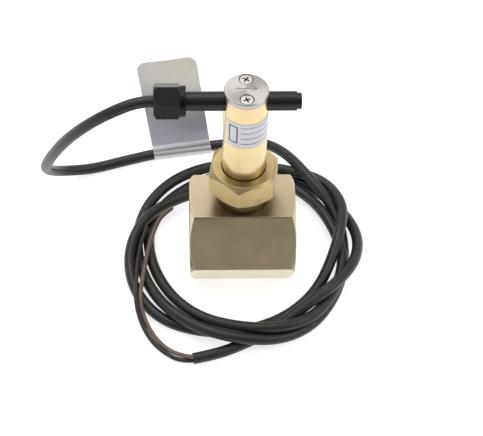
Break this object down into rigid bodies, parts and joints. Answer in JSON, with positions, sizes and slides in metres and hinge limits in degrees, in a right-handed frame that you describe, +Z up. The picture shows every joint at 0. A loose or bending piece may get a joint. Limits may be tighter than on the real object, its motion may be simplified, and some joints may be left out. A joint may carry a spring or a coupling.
{
  "type": "paddle flow switch",
  "caption": "Brass T-piece with a swinging paddle lever in an upright sensor tube and a cabled reed contact clamped across its head.",
  "frame": {"origin": "centre of the flat that the T-piece stands on, under the sensor tube's axis", "axes": "+X along the flow towards the outlet, +Z up the sensor tube, the cable's tag and lead lie towards +Y and -X"},
  "size_m": [0.1474, 0.1256, 0.1056],
  "materials": {
    "block_brass": "machined satin, slightly dull",
    "nut_brass": "machined satin",
    "tube_brass": "polished, turned",
    "fibre_gasket": "flat sealing fibre",
    "cap_steel": "satin",
    "screw_steel": "zinc plated",
    "stainless": "rolled sheet",
    "magnet_steel": "nickel plated magnet",
    "bearing_plastic": "natural acetal",
    "rod_plastic": "satin moulded",
    "gland_plastic": "satin moulded",
    "reed_glass": "clear greenish glass",
    "reed_metal": "nickel iron, bright",
    "copper_lead": "enamelled copper",
    "dark_resin": "cast resin",
    "seal_rubber": "moulded rubber",
    "cable_jacket": "matt PVC jacket",
    "wire_brown_skin": "PVC core insulation",
    "wire_black_skin": "PVC core insulation",
    "tag_foil": "silver grey film"
  },
  "bodies": {
    "t_body": {"t_piece": "block_brass", "neck_gasket": "fibre_gasket", "sensor_tube": "tube_brass", "return_magnet": "magnet_steel", "clamp_cap": "cap_steel", "cap_screws": "screw_steel", "pivot_pin": "stainless", "pin_bushes": "bearing_plastic"},
    "nut": {"union_nut": "nut_brass"},
    "lever": {"paddle_lever": "stainless", "paddle_blade": "stainless", "blade_rivets": "stainless", "magnet_cup": "bearing_plastic", "lever_magnet": "magnet_steel"},
    "contact": {"reed_rod": "rod_plastic", "rod_plug": "rod_plastic", "reed_capsule": "reed_glass", "reed_blades": "reed_metal", "reed_sleeve": "bearing_plastic", "return_lead": "copper_lead", "sealing_resin": "dark_resin", "gland_nut": "gland_plastic", "gland_seal": "seal_rubber", "cable_lead": "cable_jacket", "cable_coil": "cable_jacket", "cable_tail": "cable_jacket", "wire_brown": "wire_brown_skin", "wire_black": "wire_black_skin", "cable_tag": "tag_foil"}
  },
  "joints": [
    {"name": "paddle_swing", "type": "hinge", "parent": "t_body", "child": "lever", "pos_m": [0, 0, 0.05], "axis": [0, -1, 0], "range_deg": [0, 10], "stiffness_Nm_per_rad": 0.0025, "springref_deg": -4.58},
    {"name": "contact_slide", "type": "slide", "parent": "t_body", "child": "contact", "axis": [1, 0, 0], "range_m": [-0.005, 0.005]},
    {"name": "union_nut_turn", "type": "hinge", "parent": "t_body", "child": "nut", "pos_m": [0, 0, 0.054], "axis": [0, 0, 1], "continuous": true}
  ]
}
